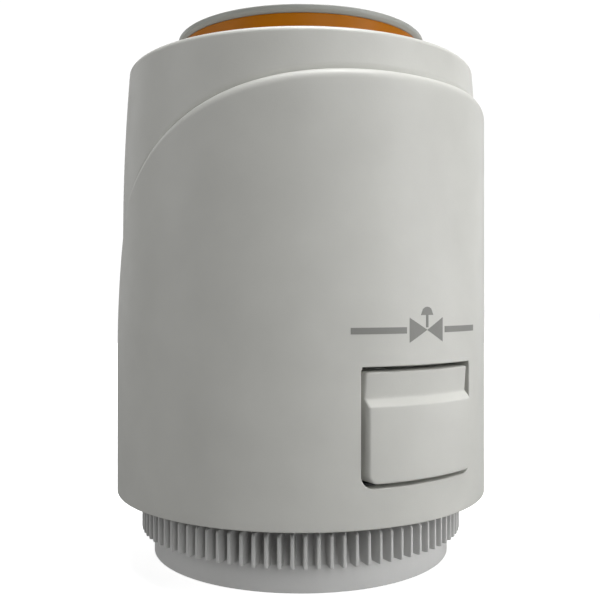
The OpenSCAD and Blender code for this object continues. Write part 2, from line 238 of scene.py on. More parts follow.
def arc(cr, cz, r, a0, a1, n, rz=None):
    """(radius, height) points on an arc about (cr, cz)."""
    rz = r if rz is None else rz
    turns = [math.radians(a0 + (a1 - a0) * i / n) for i in range(n + 1)]
    return [(cr + r * math.cos(t), cz + rz * math.sin(t)) for t in turns]


def lathe(shell, profile, columns, wrap_rows=False):
    """Turns (radius, height) points about Z."""
    angles = [360.0 * i / columns for i in range(columns)]
    return shell.grid([[polar(r, a, z) for a in angles] for r, z in profile], wrap_rows)


# ---------------------------------------------------------------- casing

def bump_z(a):
    """Height of the arch as far as its knee."""
    return ARCH_TOP_Z - ARCH_FALL * math.radians(a) ** ARCH_POWER


def arch_z(a):
    """Height of the arched step, a degrees either way from the front."""
    if a <= ARCH_KNEE:
        return bump_z(a)
    drop = bump_z(ARCH_KNEE) - ARCH_REAR_Z
    slope = ARCH_FALL * ARCH_POWER * math.radians(ARCH_KNEE) ** (ARCH_POWER - 1)
    return ARCH_REAR_Z + drop * math.exp(-slope / drop * math.radians(a - ARCH_KNEE))


def softness(a):
    """0 where the step is crisp, 1 where it is soft."""
    return smooth((abs(a) - STEP_SOFTENS[0]) / STEP_SOFTENS[1])


def step_span(a):
    """Top and height of the step at angle a."""
    soft = softness(a)
    rise = STEP_RISE[0] + (STEP_RISE[1] - STEP_RISE[0]) * soft
    return arch_z(abs(a)) + rise, STEP_HEIGHT[0] + (STEP_HEIGHT[1] - STEP_HEIGHT[0]) * soft


def barrel_r(z):
    """Radius of the drafted upper part, which runs on inside the lower part."""
    return UPPER_R - BARREL_DROP * (max(0.0, z - BARREL_Z) / (SIDE_Z1 - BARREL_Z)) ** 2


def outer_r(a, z):
    """Radius of the casing's outside."""
    top, height = step_span(a)
    down = min(1.0, max(0.0, (top - z) / height))
    soft = softness(a)
    share = (1 - soft) * math.sqrt(1 - (1 - down) ** 2) + soft * smooth(down)
    seam = SEAM_DEPTH * (1 - soft) * max(0.0, 1 - (z - top) / SEAM_HEIGHT) if z > top else 0.0
    return barrel_r(z) + (CASING_R - barrel_r(z)) * share - seam


def inner_r(a, z):
    """Radius of the casing's inside, the same at every angle a."""
    wide = smooth(INNER_STEP_Z - z)
    return barrel_r(z) - WALL + (CASING_R - UPPER_R) * wide


def row_heights(a):
    """Heights of the outside's rows at angle a, close together across the step."""
    top, height = step_span(a)
    z0 = BASE_Z + BASE_EDGE_R
    turns = np.linspace(math.pi / 2, 0, ROWS_STEP)
    return np.concatenate([
        np.linspace(z0, top - height, ROWS_BELOW, endpoint=False),
        top - height * (1 - np.cos(turns)),
        [top + 0.02, top + SEAM_HEIGHT / 2],
        np.linspace(top + SEAM_HEIGHT, SIDE_Z1, ROWS_ABOVE - 1)])


def rounded_box_hit(dx, dz, half_w, half_h, r_top, r_low):
    """Distance from the middle of a rounded rectangle to its edge along (dx, dz)."""
    r = r_top if dz > 0 else r_low

    def outside(t):
        qx = abs(dx) * t - half_w + r
        qz = abs(dz) * t - half_h + r
        return math.hypot(max(qx, 0), max(qz, 0)) + min(max(qx, qz), 0) - r

    low, high = 0.0, 2 * (half_w + half_h)
    for _ in range(40):
        mid = (low + high) / 2
        low, high = (low, mid) if outside(mid) > 0 else (mid, high)
    return low


def surface_point(x, z, side, radius):
    """Point of the casing's skin at x and z, in front (side -1) or behind (side 1)."""
    r = radius(0.0 if side < 0 else 180.0, z)
    for _ in range(4):
        a = math.degrees(math.asin(max(-1.0, min(1.0, x / r))))
        r = radius(a if side < 0 else 180.0 - abs(a), z)
    return (x, side * math.sqrt(r * r - x * x), z)


def block_loop(index, c0, c1, k0, k1):
    """Vertex numbers round a block of a grid."""
    n = len(index[0])
    loop = [(k0, c) for c in range(c0, c1)]
    loop += [(k, c1) for k in range(k0, k1)]
    loop += [(k1, c) for c in range(c1, c0, -1)]
    loop += [(k, c0) for k in range(k1, k0, -1)]
    return [index[k][c % n] for k, c in loop]


# Rows of skin that are fitted to a window: shares of the way out from its edge
FIT_SHARES = (0.72, 0.48, 0.3, 0.17, 0.08, 0.03)


def window_patch(shell, outer_loop, inner_loop, side, half_w, z0, z1, corners, edge_r):
    """Fills the skin round a window and lines its edge. corners are its upper and lower radii."""
    z_mid, half_h = (z0 + z1) / 2, (z1 - z0) / 2
    r_top, r_low = corners

    def outline(grow):
        """Points on the window's outline, or grow outside it, one for each vertex of outer_loop."""
        hits = []
        for v in outer_loop:
            x, _, z = shell.points[v]
            dx, dz = x, z - z_mid
            length = math.hypot(dx, dz)
            dx, dz = dx / length, dz / length
            t = rounded_box_hit(dx, dz, half_w + grow, half_h + grow, r_top + grow, r_low + grow)
            hits.append((dx * t, z_mid + dz * t))
        return hits

    def fitted_rows(loop, edge, radius, shares):
        """Rows of skin between the window's edge and a loop round it."""
        fitted = []
        for s in shares:
            row = []
            for v, (ex, ez) in zip(loop, edge):
                x, _, z = shell.points[v]
                row.append(surface_point(ex + (x - ex) * s, ez + (z - ez) * s, side, radius))
            fitted.append(shell.add(row))
        return fitted

    rows = [outer_loop] + fitted_rows(outer_loop, outline(edge_r), outer_r, FIT_SHARES)
    edge_steps = 4
    for step in range(edge_steps + 1):
        turn = math.radians(90 * step / edge_steps)
        grow = edge_r * (1 - math.sin(turn))
        deep = edge_r * (1 - math.cos(turn))
        row = []
        for x, z in outline(grow):
            p = surface_point(x, z, side, outer_r)
            row.append((p[0], p[1] - side * deep, p[2]))
        rows.append(shell.add(row))
    inner_edge = outline(0.0)
    rows.append(shell.add([surface_point(x, z, side, inner_r) for x, z in inner_edge]))
    rows += fitted_rows(inner_loop, inner_edge, inner_r, reversed(FIT_SHARES))
    shell.skin(rows + [inner_loop])


def rows_round(a, z0, z1):
    """Numbers of the rows that lie clear below and above a window."""
    heights = row_heights(a)
    return [int(row) for row in np.searchsorted(heights, (z0 - WINDOW_MARGIN, z1 + WINDOW_MARGIN))]


def make_casing():
    columns = CASING_COLUMNS
    angles = [-180.0 + 360.0 * i / columns for i in range(columns)]
    top_r = barrel_r(SIDE_Z1)
    sections = []
    for a in angles:
        heights = row_heights(a)
        base_r = outer_r(a, BASE_Z)
        section = arc(base_r - BASE_EDGE_R, BASE_Z + BASE_EDGE_R, BASE_EDGE_R, -90, -15, 4)
        first_outer = len(section)
        section += [(outer_r(a, z), z) for z in heights]
        section += arc(top_r - TOP_EDGE_IN, SIDE_Z1, TOP_EDGE_IN, 9, 90, 9, TOP_EDGE_R)
        section += [(r, TOP_Z) for r in TOP_FACE_RADII]
        section += arc(OPENING_R + OPENING_EDGE_R, TOP_Z - OPENING_EDGE_R, OPENING_EDGE_R, 90, 180, 4)
        section += [(OPENING_R, CEILING_Z + 1.0)]
        section += [(r, CEILING_Z) for r in CEILING_RADII]
        first_inner = len(section)
        z0 = BASE_Z + INNER_EDGE_R
        span = (CEILING_Z - z0) / (SIDE_Z1 - heights[0])
        inner = [z0 + (z - heights[0]) * span for z in heights]
        section += [(inner_r(a, z), z) for z in reversed(inner)]
        section += arc(inner_r(a, BASE_Z) + INNER_EDGE_R, z0, INNER_EDGE_R, 195, 270, 3)
        sections.append(section)
    shell = Shell()
    rows = [[polar(sections[i][j][0], a, sections[i][j][1]) for i, a in enumerate(angles)]
            for j in range(len(sections[0]))]
    row_count = ROWS_BELOW + ROWS_STEP + ROWS_ABOVE
    last_inner = first_inner + row_count

    # First and last column, then first and last row, of the block that each window takes out
    middle = columns // 2
    front = (middle - WINDOW_COLUMNS, middle + WINDOW_COLUMNS, *rows_round(0.0, *WINDOW_Z))
    rear = (-WINDOW_COLUMNS, WINDOW_COLUMNS, *rows_round(180.0, SOCKET_LOW[2], SOCKET_HIGH[2]))

    def hole(j, i):
        for c0, c1, k0, k1 in (front, rear):
            if (i - c0) % columns < c1 - c0:
                if k0 <= j - first_outer < k1 or k0 <= last_inner - 1 - j < k1:
                    return True
        return False

    index = shell.grid(rows, wrap_rows=True, hole=hole)
    outer = index[first_outer:]
    inner = [index[last_inner - k] for k in range(row_count + 1)]
    window_patch(shell, block_loop(outer, *front), block_loop(inner, *front), -1,
                 WINDOW_HALF_W, *WINDOW_Z, WINDOW_CORNERS, WINDOW_EDGE_R)
    window_patch(shell, block_loop(outer, *rear), block_loop(inner, *rear), 1,
                 SOCKET_HIGH[0] + SOCKET_GAP, SOCKET_LOW[2] - SOCKET_GAP,
                 SOCKET_HIGH[2] + SOCKET_GAP, SOCKET_CORNERS, SOCKET_EDGE_R)
    shell.drop_loose()
    return shell.make("casing_shell", 50)


# ---------------------------------------------------------------- release button

def make_button():
    """A prism whose front follows the casing, with a shallow finger recess over a proud pad."""
    half_w = WINDOW_HALF_W - BUTTON_GAP
    z0, z1 = WINDOW_Z[0] + BUTTON_GAP, WINDOW_Z[1] - BUTTON_GAP
    flush_r = CASING_R - BUTTON_SINK
    foot_r = flush_r - RECESS_DEPTH
    edge = BUTTON_EDGE_R
    high_corner, low_corner = BUTTON_CORNERS

    # (height, radius of the front) up the middle of the button
    profile = [(z0 + edge * (1 - math.cos(t)), PAD_R - edge * (1 - math.sin(t)))
               for t in np.linspace(0, math.pi / 2, 6)]
    profile += [(z, PAD_R) for z in np.linspace(z0 + edge + 0.3, PAD_Z1 - 0.45, 22)]
    profile += [(PAD_Z1 - LEDGE_R + LEDGE_R * math.sin(t), PAD_R - LEDGE_R * (1 - math.cos(t)))
                for t in np.linspace(0, math.radians(50), 6)]
    ledge_z, ledge_r = profile[-1]
    foot_z = PAD_Z1 + RECESS_RISE
    profile += [(ledge_z + (foot_z - ledge_z) * t, ledge_r + (foot_r + 0.03 - ledge_r) * t)
                for t in np.linspace(0.15, 1.0, 7)]
    profile.append((foot_z + 0.1, foot_r))
    for t in np.linspace(0.08, 1.0, 16):
        z = foot_z + 0.1 + (z1 - 0.1 - foot_z - 0.1) * t
        profile.append((z, foot_r + (flush_r - foot_r) * t))
    profile += [(z1 - 0.03, flush_r - 0.03), (z1, flush_r - 0.1)]

    def half_width(z):
        """Half the width at height z, less where a corner is rounded."""
        low, high = z0 + low_corner - z, z - (z1 - high_corner)
        if low > 0:
            return half_w - low_corner + math.sqrt(max(0.0, low_corner ** 2 - low ** 2))
        if high > 0:
            return half_w - high_corner + math.sqrt(max(0.0, high_corner ** 2 - high ** 2))
        return half_w

    turns = [math.radians(t) for t in range(90, -1, -18)]
    rows = []
    for z, r in profile:
        w = half_width(z)
        xs = [-(w - edge * (1 - math.sin(t))) for t in turns]
        deeps = [edge * (1 - math.cos(t)) for t in turns]
        middle = list(np.linspace(xs[-1], -xs[-1], 42)[1:-1])
        xs = xs + middle + [-x for x in reversed(xs)]
        deeps = deeps + [0.0] * len(middle) + list(reversed(deeps))
        rows.append([(x, -math.sqrt(r * r - x * x) + d, z) for x, d in zip(xs, deeps)])
    shell = Shell()
    front = [shell.add(row) for row in rows]
    shell.skin(front, wrap_cols=False)
    loop = (front[0] + [row[-1] for row in front[1:]]
            + list(reversed(front[-1]))[1:] + [row[0] for row in reversed(front[1:-1])])
    back = shell.add([(shell.points[v][0], BUTTON_BACK_Y, shell.points[v][2]) for v in loop])
    shell.skin([loop, back])
    shell.lid(back)
    # Wings behind the casing's wall, and the neck that carries them
    wing_w = BUTTON_HIGH[0]
    add_block(shell, (-wing_w, WING_Y[0], WING_Z0), (wing_w, WING_Y[1], z1))
    lap = 0.1
    add_block(shell, (-NECK_HALF_W, BUTTON_BACK_Y - lap, WING_Z0 + lap),
              (NECK_HALF_W, WING_Y[0] + lap, z1 - lap))
    return shell.make("button_cap", 50)


def add_block(shell, low, high):
    """A box between two corners."""
    corners = [(x, y, z) for z in (low[2], high[2])
               for x, y in ((low[0], low[1]), (high[0], low[1]), (high[0], high[1]), (low[0], high[1]))]
    v = shell.add(corners)
    shell.skin([v[:4], v[4:]])
    shell.lid(v[:4])
    shell.lid(v[4:])


# ---------------------------------------------------------------- indicator

def make_indicator_cap():
    top, low, r = CAP_HIGH[2], CAP_LOW_EDGE_Z, CAP_HIGH[0]
    plug_r = SLEEVE_HIGH[0] - SLEEVE_WALL
    shell = Shell()
    # Dished top, rim, side, chamfer to the sleeve, then the plug
    profile = [(radius, top - CAP_DISH) for radius in (CENTRE_R, 6.0, plug_r - CAP_PLUG_GAP)]
    profile += [(plug_r + 0.15, top - 0.08), (plug_r + 0.3, top - 0.01)]
    profile += [(plug_r + 0.5, top), (plug_r + 1.0, top)]
    profile += arc(r - CAP_EDGE_R, top - CAP_EDGE_R, CAP_EDGE_R, 90, 0, 6)
    profile += [(r, low + 0.36), (r - 0.04, low + 0.27), (SLEEVE_HIGH[0] + 0.03, low + 0.02)]
    profile += [(SLEEVE_HIGH[0], low), (plug_r - 0.05, low), (plug_r - CAP_PLUG_GAP, low - 0.1)]
    profile += [(plug_r - CAP_PLUG_GAP, CAP_LOW[2]), (CENTRE_R, CAP_LOW[2])]
    lathe(shell, profile, TURNED_COLUMNS)
    return shell.make("indicator_cap_disc")


def make_indicator_sleeve():
    r, z0, z1 = SLEEVE_HIGH[0], SLEEVE_LOW[2], CAP_LOW_EDGE_Z
    shell = Shell()
    inner = r - SLEEVE_WALL
    profile = [(inner, z0), (r, z0)]
    profile += [(r, z) for z in np.linspace(z0 + 1, z1 - 0.3, 12)]
    profile += arc(r - 0.15, z1 - 0.15, 0.15, 0, 90, 3) + [(inner + 0.05, z1), (inner, z1 - 0.05)]
    lathe(shell, profile, TURNED_COLUMNS, wrap_rows=True)
    return shell.make("indicator_ring")


# ---------------------------------------------------------------- valve adapter ring

# Shares of a knurl pitch and how far out of the root the skin stands there
RIB_SHAPE = [(0.0, 0.0), (0.24, 0.0), (0.29, 0.03), (0.312, 0.12), (0.322, 0.5), (0.334, 0.82),
             (0.355, 0.93), (0.4, 0.985), (0.5, 1.0), (0.6, 0.985), (0.645, 0.93), (0.666, 0.82),
             (0.678, 0.5), (0.688, 0.12), (0.71, 0.03), (0.76, 0.0)]


def make_adapter_ring():
    pitch = 360.0 / KNURL_COUNT
    angles = [(n + share) * pitch for n in range(KNURL_COUNT) for share, _ in RIB_SHAPE]
    stand = [s for _ in range(KNURL_COUNT) for _, s in RIB_SHAPE]
    root_r = KNURL_R - KNURL_DEPTH
    z0, z1 = KNURL_Z
    edge = COLLAR_EDGE_R
    shell = Shell()

    def ring_row(r, z):
        return [polar(r, a, z) for a in angles]

    def knurl_row(z, pull=0.0):
        """Ribs with their tops pulled in by pull; the gaps' floor runs out into the collar."""
        run_out = max(0.0, 1 - (z - z0) / KNURL_RUN_OUT) ** 1.6
        floor_r = root_r + (COLLAR_R - root_r) * run_out
        return [polar(floor_r + max(0.0, KNURL_R - pull - floor_r) * s, a, z)
                for a, s in zip(angles, stand)]

    rows = [ring_row(COLLAR_R - edge - 0.1, 0.0)]
    rows += [ring_row(r, z) for r, z in arc(COLLAR_R - edge, edge, edge, -80, 0, 6)]
    rows += [ring_row(COLLAR_R, z) for z in (1.0, 1.8, z0 - 0.1, z0)]
    for t in np.linspace(0.1, 1, 5) * math.pi / 2:
        rows.append(knurl_row(z0 + RIB_LOW_EDGE * (1 - math.cos(t)), RIB_LOW_EDGE * (1 - math.sin(t))))
    rows += [knurl_row(z) for z in np.linspace(z0 + 0.3, z0 + KNURL_RUN_OUT, 12)]
    rows.append(knurl_row(z1 - 0.5))
    end_h, end_d = RIB_TOP_EDGE
    for t in np.linspace(0, 1, 7) * math.pi / 2:
        rows.append(knurl_row(z1 - end_h + end_h * math.sin(t), end_d * (1 - math.cos(t))))
    rows += [ring_row(root_r - 0.2, z1), ring_row(CROWN_R + 0.3, z1)]
    fine = shell.grid(rows)

    # Crown above the knurl, then down the inside and round to the lower face
    columns = 2 * KNURL_COUNT
    step = len(angles) // columns
    coarse_angles = [angles[i * step] for i in range(columns)]

    def coarse_row(r, z):
        return [polar(r, a, z) for a in coarse_angles]

    def thread_r(a, z):
        """Radius inside the thread, whose ridge fades out at both ends."""
        turn = (z / THREAD_PITCH + a / 360.0) % 1.0
        fade = min(1.0, max(0.0, (z - 0.05) / 0.6), max(0.0, (THREAD_LEN - 0.4 - z) / 0.8))
        ridge = min(1.0, max(0.0, 1.45 * (abs(2 * turn - 1) - 0.16)))
        return THREAD_MINOR_R + (THREAD_MAJOR_R - THREAD_MINOR_R) * ridge * fade

    profile = [(CROWN_R + 0.1, z1 + 0.02), (CROWN_R, z1 + 0.15), (CROWN_R, 9.0)]
    groove_low, groove_high = GROOVE_Z
    profile += [(CROWN_R, groove_low - 0.1), (CROWN_R - 0.1, groove_low), (GROOVE_R + 0.1, groove_low)]
    profile += [(GROOVE_R, groove_low + 0.1), (GROOVE_R, groove_high - 0.1)]
    profile += [(GROOVE_R + 0.1, groove_high), (CROWN_R - 0.1, groove_high)]
    profile += [(CROWN_R, groove_high + 0.1), (CROWN_R, CROWN_TOP_Z - 0.6)]
    profile += [(CROWN_R - 0.5, CROWN_TOP_Z), (NECK_R + 0.2, CROWN_TOP_Z), (NECK_R, CROWN_TOP_Z - 0.2)]
    profile += [(NECK_R, THREAD_LEN + 0.3), (NECK_R + 0.3, THREAD_LEN)]
    profile += [(THREAD_MINOR_R - 0.2, THREAD_LEN)]
    coarse = [coarse_row(r, z) for r, z in profile]
    for z in np.linspace(THREAD_LEN - 0.15, 0.25, 78):
        coarse.append([polar(thread_r(a, z), a, z) for a in coarse_angles])
    coarse += [coarse_row(THREAD_MINOR_R + 0.25, 0.08), coarse_row(THREAD_MINOR_R + 0.5, 0.0)]
    index = shell.grid(coarse)

    for fine_row, coarse_ring in ((fine[-1], index[0]), (fine[0], index[-1])):
        for i in range(columns):
            k = (i + 1) % columns
            small = [fine_row[(i * step + s) % len(angles)] for s in range(step + 1)]
            shell.lid(small + [coarse_ring[k], coarse_ring[i]])
    return shell.make("adapter_ring", 42)


# ---------------------------------------------------------------- springs

def add_coil(shell, mean_r, wire_r, length, turns, to_frame, ground_turns=1.0):
    """A compression spring with closed ends. to_frame turns (across, across, along) into a point."""
    steps, sides = 48, 12
    pitch = (length - 2 * wire_r - 4 * wire_r * ground_turns) / (turns - 2 * ground_turns)
    rows = []
    for i in range(int(turns * steps) + 1):
        turn = i / steps
        closed = min(turn, ground_turns) + max(0.0, turn - (turns - ground_turns))
        along = wire_r + 2 * wire_r * closed + pitch * (turn - closed)
        a = math.radians(360 * turn)
        row = []
        for j in range(sides):
            b = 2 * math.pi * j / sides
            r = mean_r + wire_r * math.cos(b)
            row.append(to_frame(r * math.cos(a), r * math.sin(a), along + wire_r * math.sin(b)))
        rows.append(row)
    index = shell.grid(rows)
    shell.lid(index[0])
    shell.lid(index[-1])


def make_closing_coil():
    mean_r = SPRING_HIGH[0] - SPRING_WIRE_R
    z0, z1 = SPRING_LOW[2], SPRING_HIGH[2]
    shell = Shell()
    add_coil(shell, mean_r, SPRING_WIRE_R, z1 - z0, SPRING_TURNS, lambda u, v, w: (u, v, z0 + w))
    return shell.make("closing_coil")


def make_button_coils():
    mean_r = (PAIR_HIGH[2] - PAIR_LOW[2]) / 2 - PAIR_WIRE_R
    middle_z = (PAIR_HIGH[2] + PAIR_LOW[2]) / 2
    y0, y1 = PAIR_LOW[1], PAIR_HIGH[1]
    shell = Shell()
    for side in (-1, 1):
        x = side * (PAIR_HIGH[0] - mean_r - PAIR_WIRE_R)
        add_coil(shell, mean_r, PAIR_WIRE_R, y1 - y0, PAIR_TURNS,
                 lambda u, v, w: (x + u, y0 + w, middle_z + v))
    return shell.make("button_coils")


# ---------------------------------------------------------------- printed mark

MARK_Z = 26.9                   # the pipe's middle
INK_DEPTH = 0.03                # how far the ink stands out
INK_ROOT = 0.02                 # and how far it goes into the skin
VALVE_HALF_H = 1.25
VALVE_HALF_W = 2.3
VALVE_GAP = 0.04                # half the gap between the two triangles
PIPE_HALF_H = 0.32
PIPE_SPAN = (VALVE_HALF_W + 0.35, 8.8)
STEM_HALF_W = 0.16
STEM_SPAN = (0.25, 1.5)
DOME_R = 0.85


def make_printed_mark():
    """The engineering symbol of a valve in a pipe with an actuator, printed over the button."""
    shell = Shell()

    def patch(u0, u1, low, high):
        """Ink between two curves low(u) and high(u) on the casing, u along the girth."""
        steps = max(2, int((u1 - u0) / 0.25))
        rows = []
        for i in range(steps + 1):
            u = u0 + (u1 - u0) * i / steps
            a = math.degrees(u / CASING_R)
            root, face = CASING_R - INK_ROOT, CASING_R + INK_DEPTH
            z_low, z_high = MARK_Z + low(u), MARK_Z + high(u)
            rows.append([polar(root, a, z_low), polar(face, a, z_low),
                         polar(face, a, z_high), polar(root, a, z_high)])
        index = shell.grid(rows)
        shell.lid(index[0])
        shell.lid(index[-1])

    slope = VALVE_HALF_H / VALVE_HALF_W
    patch(-VALVE_HALF_W, -VALVE_GAP, lambda u: slope * u, lambda u: -slope * u)
    patch(VALVE_GAP, VALVE_HALF_W, lambda u: -slope * u, lambda u: slope * u)
    for side in (-1, 1):
        start, end = sorted(side * u for u in PIPE_SPAN)
        patch(start, end, lambda u: -PIPE_HALF_H, lambda u: PIPE_HALF_H)
    stem_low, stem_high = STEM_SPAN
    patch(-STEM_HALF_W, STEM_HALF_W, lambda u: stem_low, lambda u: stem_high)
    patch(-DOME_R, DOME_R, lambda u: stem_high,
          lambda u: stem_high + math.sqrt(max(0.0004, DOME_R ** 2 - u * u)))
    return shell.make("printed_valve_symbol", 20)


# ---------------------------------------------------------------- materials

def new_material(name):
    mat = bpy.data.materials.new(name)
    mat.use_nodes = True
    tree = mat.node_tree
    return mat, tree, tree.nodes["Principled BSDF"]


def noise(tree, scale, detail=4.0, rough=0.5):
    """Noise in the object's own coordinates."""
    coords = tree.nodes.new("ShaderNodeTexCoord")
    node = tree.nodes.new("ShaderNodeTexNoise")
    node.inputs["Scale"].default_value = scale
    node.inputs["Detail"].default_value = detail
    node.inputs["Roughness"].default_value = rough
    tree.links.new(coords.outputs["Object"], node.inputs["Vector"])
    return node.outputs["Fac"]


def ramp(tree, value, stops):
    """Turns a value into a colour between two (position, colour) stops."""
    node = tree.nodes.new("ShaderNodeValToRGB")
    node.color_ramp.elements[0].position = stops[0][0]
    node.color_ramp.elements[0].color = (*stops[0][1], 1)
    node.color_ramp.elements[1].position = stops[1][0]
    node.color_ramp.elements[1].color = (*stops[1][1], 1)
    tree.links.new(value, node.inputs["Fac"])
    return node.outputs["Color"]


def remap(tree, value, low, high):
    """Stretches noise to run from low to high."""
    node = tree.nodes.new("ShaderNodeMapRange")
    node.inputs["From Min"].default_value = 0.3
    node.inputs["From Max"].default_value = 0.7
    node.inputs["To Min"].default_value = low
    node.inputs["To Max"].default_value = high
    tree.links.new(value, node.inputs["Value"])
    return node.outputs["Result"]


def bump(tree, shader, heights):
    """Chains (height value, distance in metres, strength) into the shader's normal."""
    last = None
    for height, distance, strength in heights:
        node = tree.nodes.new("ShaderNodeBump")
        node.inputs["Distance"].default_value = distance
        node.inputs["Strength"].default_value = strength
        tree.links.new(height, node.inputs["Height"])
        if last is not None:
            tree.links.new(last, node.inputs["Normal"])
        last = node.outputs["Normal"]
    tree.links.new(last, shader.inputs["Normal"])


def moulded_plastic(name, color, rough=(0.42, 0.5), grain=0.000012, spread=0.03, specular=0.45):
    """Moulded plastic with a spark-eroded grain and faint flow marks."""
    mat, tree, shader = new_material(name)
    light = tuple(min(1.0, c * (1 + spread)) for c in color)
    dark = tuple(c * (1 - spread) for c in color)
    color_out = ramp(tree, noise(tree, 160, 5), [(0.3, dark), (0.7, light)])
    tree.links.new(color_out, shader.inputs["Base Color"])
    tree.links.new(remap(tree, noise(tree, 420, 3), *rough), shader.inputs["Roughness"])
    shader.inputs["Specular IOR Level"].default_value = specular
    bump(tree, shader, [(noise(tree, 5200, 2), grain, 0.5), (noise(tree, 90, 2), 0.00003, 0.25)])
    return mat


def drawn_metal(name, color, rough=(0.22, 0.38), stretch=(900.0, 900.0, 60.0)):
    """Metal with fine marks along Z."""
    mat, tree, shader = new_material(name)
    coords = tree.nodes.new("ShaderNodeTexCoord")
    mapping = tree.nodes.new("ShaderNodeMapping")
    mapping.inputs["Scale"].default_value = stretch
    node = tree.nodes.new("ShaderNodeTexNoise")
    node.inputs["Scale"].default_value = 3.0
    node.inputs["Detail"].default_value = 4.0
    tree.links.new(coords.outputs["Object"], mapping.inputs["Vector"])
    tree.links.new(mapping.outputs["Vector"], node.inputs["Vector"])
    dark = tuple(c * 0.82 for c in color)
    color_out = ramp(tree, node.outputs["Fac"], [(0.3, dark), (0.7, color)])
    tree.links.new(color_out, shader.inputs["Base Color"])
    tree.links.new(remap(tree, node.outputs["Fac"], *rough), shader.inputs["Roughness"])
    shader.inputs["Metallic"].default_value = 1.0
    bump(tree, shader, [(node.outputs["Fac"], 0.00001, 0.4)])
    return mat


def rubber(name, color):
    """Dull rubber with a fine bloom."""
    mat, tree, shader = new_material(name)
    light = tuple(c * 1.6 + 0.01 for c in color)
    color_out = ramp(tree, noise(tree, 700, 6), [(0.35, color), (0.75, light)])
    tree.links.new(color_out, shader.inputs["Base Color"])
    tree.links.new(remap(tree, noise(tree, 900, 3), 0.6, 0.8), shader.inputs["Roughness"])
    shader.inputs["Specular IOR Level"].default_value = 0.3
    bump(tree, shader, [(noise(tree, 2600, 3), 0.00002, 0.5)])
    return mat


def wax(name, color):
    """Cloudy wax that lets a little light in."""
    mat, tree, shader = new_material(name)
    dark = tuple(c * 0.9 for c in color)
    color_out = ramp(tree, noise(tree, 300, 5), [(0.3, dark), (0.7, color)])
    tree.links.new(color_out, shader.inputs["Base Color"])
    tree.links.new(remap(tree, noise(tree, 200, 3), 0.3, 0.5), shader.inputs["Roughness"])
    shader.inputs["Subsurface Weight"].default_value = 0.3
    shader.inputs["Subsurface Scale"].default_value = 0.001
    bump(tree, shader, [(noise(tree, 500, 3), 0.00005, 0.4)])
    return mat


CASING_COLOR = (0.62, 0.62, 0.585)
RING_COLOR = (0.63, 0.63, 0.62)
CAP_COLOR = (0.325, 0.333, 0.312)
SIGNAL_COLOR = (0.39, 0.127, 0.004)
FRAME_COLOR = (0.03, 0.03, 0.032)
CERAMIC_COLOR = (0.13, 0.12, 0.115)
INK_COLOR = (0.25, 0.25, 0.235)

MATERIALS = {
    "casing_plastic": moulded_plastic("casing_satin_plastic", CASING_COLOR),
    "ring_plastic": moulded_plastic("ring_grey_plastic", RING_COLOR, (0.4, 0.5)),
    "cap_plastic": moulded_plastic("cap_grey_plastic", CAP_COLOR, (0.36, 0.46)),
    "signal_orange": moulded_plastic("signal_orange_plastic", SIGNAL_COLOR, (0.36, 0.44), specular=0.12),
    "frame_plastic": moulded_plastic("glass_filled_plastic", FRAME_COLOR, (0.5, 0.65), 0.00003, 0.12),
    "nylon": moulded_plastic("natural_nylon_plastic", (0.70, 0.66, 0.55), (0.38, 0.5)),
    "rubber": rubber("seal_rubber", (0.012, 0.012, 0.012)),
    "brass": drawn_metal("turned_brass", (0.62, 0.43, 0.17)),
    "steel": drawn_metal("stamped_steel", (0.56, 0.57, 0.58)),
    "wax": wax("expansion_wax", (0.85, 0.79, 0.62)),
    "ceramic": moulded_plastic("sintered_ceramic", CERAMIC_COLOR, (0.55, 0.7), 0.00003, 0.1),
}
INK = moulded_plastic("grey_printing_ink", INK_COLOR, (0.5, 0.6), 0.000006)
SLOT_OF = {s["node"]: s["material_slot"] for s in frame["record"]["subparts"]}


def dress(obj, slot):
    obj.data.materials.clear()
    obj.data.materials.append(MATERIALS[slot])


def place(obj, body, *nodes):
    """Finishes a mesh that stands for CAD nodes."""
    dress(obj, SLOT_OF[nodes[0]])
    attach(obj, body)
    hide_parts(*nodes)
    return obj


for node_name, node_obj in frame["nodes"].items():
    dress(node_obj, SLOT_OF[node_name])

place(make_casing(), "casing", "housing")
place(make_button(), "button", "release_button")
place(make_indicator_cap(), "stem", "indicator_cap")
place(make_indicator_sleeve(), "stem", "indicator_sleeve")
place(make_adapter_ring(), "adapter", "valve_adapter_ring")


def bend(obj, node):
    """A coil that stands for a CAD node between the casing and a moving body; it is left unattached,
    with its placement baked into the mesh.
    """
    dress(obj, SLOT_OF[node])
    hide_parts(node)
    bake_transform(obj)


bend(make_closing_coil(), "closing_spring")
bend(make_button_coils(), "button_springs")

mark = make_printed_mark()
mark.data.materials.append(INK)
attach(mark, "casing")

socket = frame["nodes"]["cable_socket"]
edge = socket.modifiers.new("moulded_edges", "BEVEL")
edge.width = SOCKET_BEVEL * MM
edge.segments = 3
edge.limit_method = "ANGLE"
edge.angle_limit = math.radians(40)


# ---------------------------------------------------------------- floor, lights and camera

WORLD_LIGHT = 0.0               # the lamps and the floor do all the lighting
FLOOR_GLOW = (0.72, 1.0)        # glow of the floor as it is seen, near the object and away from it
FLOOR_GLOW_SPAN = (0.05, 0.20)  # metres from the object's foot between which it changes
FLOOR_LIGHT = 0.25              # how much the floor lights the object
FLOOR_Z = -0.02                 # millimetres, just clear of the ring's lower face
FLOOR_HALF, FLOOR_CELLS = 1500.0, 8
BACKDROP = 1.05                 # brightness of what is seen behind the floor
